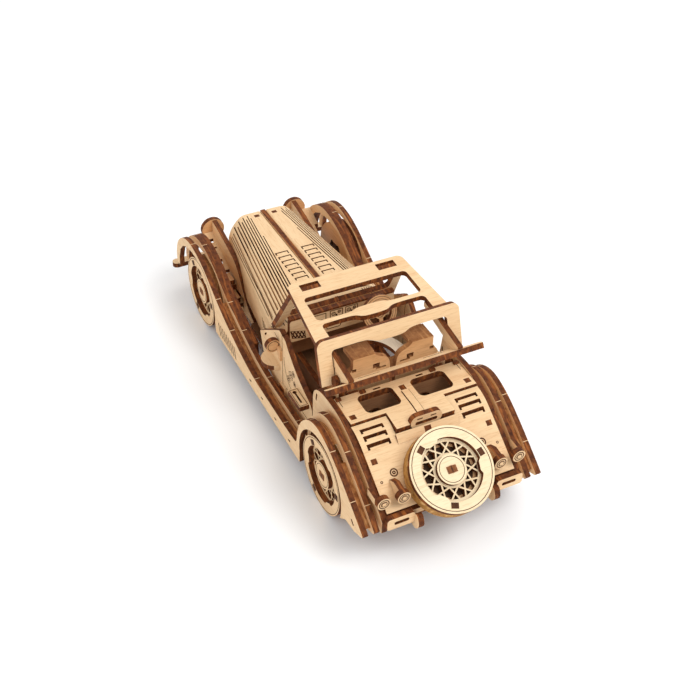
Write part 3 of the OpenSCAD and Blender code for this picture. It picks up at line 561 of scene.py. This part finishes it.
for side, tag in SIDES:
    lines = []
    for i in range(10):
        x = side * (17.4 + 1.45 * i)
        lines += trace("scuttle_top", [(x, -13.6), (x, -9.2)], 0.5)
    weld(lines, "scuttle_comb_" + tag, BURN, CAR)

# ---------------------------------------------------------------- tail deck, boot lid and tail lamps

marks, plugs = [], []
for side, _ in SIDES:
    s = patch("rear_deck", side * 31.8, 97.8)
    s.rect(-1.5, -1.4, 1.5, 1.4, -0.3, 0.08)
    plugs.append(s)
    s = patch("rear_deck", side * 24.4, 104.2)
    s.ring(0, 0, 1.4, 2.1)
    s.ring(0, 0, 0.3, 0.95, n=20)
    marks.append(s)
    for x, y in ((32, 106.4), (33, 114.6)):
        s = patch("rear_deck", side * x, y)
        s.ring(0, 0, 0.3, 0.7, n=20)
        marks.append(s)
weld(marks, "deck_marks", BURN, CAR)
weld(plugs, "deck_plugs", EDGE, CAR)
latch = patch("rear_deck", 0, 92.6)
latch.rect(-1.8, -1.5, 1.8, 1.5, -0.3, 0.08)
latch.make("latch_plug", EDGE, CAR)

lid = Sketch((0, 0, LID_TOP_Z), X, Y)
for side, _ in SIDES:
    lid.line((side * 33.2, 60.4), (side * 33.2, 66.6), 0.3)
lid.make("lid_marks", BURN, "boot")
strip = []
for x in (-1.95, 1.95):
    strip += trace("boot_lid", [(x, 68.5), (x, 78.9), (x, 79.2), (x, 84.6)], 0.5)
weld(strip, "strip_marks", BURN, "boot")
plug = Sketch((0, 0, LID_TOP_Z), X, Y)
plug.rect(-1.55, 64.35, 1.55, 67.65, -2.6, -0.15)
plug.make("lid_plug", EDGE, "boot")
grip = Sketch((0, HANDLE_FACE_Y, 0), -X, Z)
for x in (-5.2, 2.2):
    grip.rect(x, 54.9, x + 3.0, 55.6)
grip.make("handle_marks", BURN, "boot")

lamps = []
for side, _ in SIDES:
    for x, y in ((26.6, 119.0), (37.0, 118.6)):
        s = Sketch((side * x, y, 38), -X, Z)
        s.ring(0, 0, 2.25, 2.75, n=32)
        s.ring(0, 0, 1.3, 1.7, n=32)
        lamps.append(s)
weld(lamps, "lamp_marks", BURN, CAR)

# ---------------------------------------------------------------- dashboard and steering wheel

PATCH_CORNERS = [Vector(p) for p in ((-30.6, 50.6), (-22.3, 48.3), (-21.8, 43.6), (-29.6, 45.6))]
PATCH_CELLS = 4


def in_patch(across, down):
    """Point of the cross-hatched patch, from 0 to 1 both ways."""
    top_left, top_right, low_right, low_left = PATCH_CORNERS
    return top_left.lerp(top_right, across).lerp(low_left.lerp(low_right, across), down)


# dials in two frames, a glove box, a tray and the hatched patch
dash = Sketch((0, DASH_FACE_Y, 0), -X, Z)
for x0, x1 in ((-7.4, -0.2), (1.7, 8.8)):
    dash.frame(x0, 52.2, x1, 56.6, 0.5)
    for cx, cz, radius in ((x0 + 1.9, 54.3, 1.25), (x1 - 1.9, 54.9, 1.0), (x1 - 3.6, 53.2, 0.6)):
        dash.ring(cx, cz, radius - 0.5, radius, n=24)
        dash.disc(cx, cz, 0.32, 10)
dash.frame(-17.4, 51.4, -10.0, 56.2, 0.45)
dash.path([(-9.6, 46.4), (-9.0, 45.0), (-1.6, 45.0), (-1.0, 46.4), (-1.0, 49.6), (-9.6, 49.6)], 0.45, True)
for i in range(PATCH_CELLS + 1):
    for j in (i + 1, i - 1):
        if 0 <= j <= PATCH_CELLS:
            dash.line(in_patch(i / PATCH_CELLS, 0), in_patch(j / PATCH_CELLS, 1), 0.75)
dash.path(PATCH_CORNERS, 0.3, True)
dash.make("dash_marks", BURN, CAR)

helm = Sketch(HELM_FACE, -X, HELM_N.cross(-X))
helm.ring(0, 0, 8.9, 9.15)
helm.ring(0, 0, 7.5, 7.75)
helm.ring(0, 0, 2.3, 2.6, n=24)
helm.make("helm_marks", BURN, "steering")

# ---------------------------------------------------------------- doors and body sides

DOOR_CURVE = ((6.6, 41.6), (7.4, 36), (9.6, 30.6), (13.6, 26.8), (19.0, 25.0))
BLOSSOMS = ((15.4, 35.6, 2.6), (12.6, 31.2, 1.9), (18.6, 39.0, 1.7), (20.0, 33.2, 1.5))
CLIP = ((2.6, 38.2), (4.6, 37.6), (4.75, 43.6), (3.8, 45.4), (2.0, 45.9), (0.6, 44.9), (0.2, 43.0))
SIDE_CURVE = ((-5.2, 49.6), (-3.0, 49.0), (-0.6, 47.6), (1.6, 46.2))


def side_sketch(side, x=BODY_SIDE_X):
    """Sketch on an outer side of the car: places in y, counted towards the tail, and z."""
    return Sketch((side * x, 0, 0), Y * side, Z)


def mirrored(pts, side):
    return [(y * side, z) for y, z in pts]


for side, tag in SIDES:
    body = "door_%s_body" % tag
    s = side_sketch(side)
    s.path(mirrored(DOOR_CURVE, side), 0.42)
    for cy, cz, size in BLOSSOMS:
        for k in range(5):
            a = math.radians(72 * k + 20)
            py, pz = cy + size * 0.62 * math.cos(a), cz + size * 0.62 * math.sin(a)
            s.ring(py * side, pz, size * 0.36, size * 0.36 + 0.27, n=14)
        s.disc(cy * side, cz, 0.3, 8)
    s.make("door_marks_" + tag, BURN, body)
    handle = Sketch((0, 0, 34), X, Y)
    x0, x1 = sorted((side * 38.5, side * 42.9))
    handle.frame(x0, 24.3, x1, 37.3, 0.3)
    handle.make("door_handle_marks_" + tag, BURN, body)

# ---------------------------------------------------------------- small plywood pieces

LID_BLOCK_Z = LID_TOP_Z - 0.05
block("screen_stud", (-0.9, 0.9), (-9.4, 56.2), (-5.7, 58.6), CAR)
for side, tag in SIDES:
    block("frame_clip_" + tag, (side * 31.9, side * 34.2), (55.6, 58.6), (60.6, 66.8), CAR, 1.2)
    block("lid_block_" + tag, (side * 18.2, side * 21.2), (60.0, LID_BLOCK_Z), (62.0, 55.3), "boot")
    block("corner_block_" + tag, (side * 31.9, side * 34.3), (60.0, LID_BLOCK_Z), (62.6, 55.6), "boot", 0.5)
    clip = side_sketch(side)
    clip.prism(mirrored(CLIP, side), SINK, 1.5)
    clip.make("side_clip_" + tag, AMBER[1], CAR)
    mark = side_sketch(side)
    mark.path(mirrored(SIDE_CURVE, side), 0.4)
    mark.make("side_mark_" + tag, BURN, CAR)

mirror = Sketch(MIRROR_FACE, -X, Z)
mirror.ring(0, 0, 2.9, 3.25)
mirror.make("mirror_ring", BURN, CAR)

# ---------------------------------------------------------------- wings: hatch and pale joints

JOINTS_Y = (-117, -101.5, -63, -43, -8, 30, 62, 86, 108)

for side, tag in SIDES:
    s = side_sketch(side, WING_FACE_X)
    for i in range(9):
        y = -60.8 + 2.9 * i
        s.line((side * y, 19.4), (side * (y + 2.6), 12.0), 1.0)
    s.make("wing_hatch_" + tag, BURN, CAR)
    joints = []
    for sheet, x, shift in (("wing_outer_", 47.9, 0), ("wing_middle_", 41.9, 3.5)):
        for y in JOINTS_Y:
            t = patch(sheet + tag, side * x, y + shift)
            t.rect(-1.48, -0.16, 1.48, 0.16)
            joints.append(t)
    weld(joints, "wing_ticks_" + tag, FACE[0], CAR)
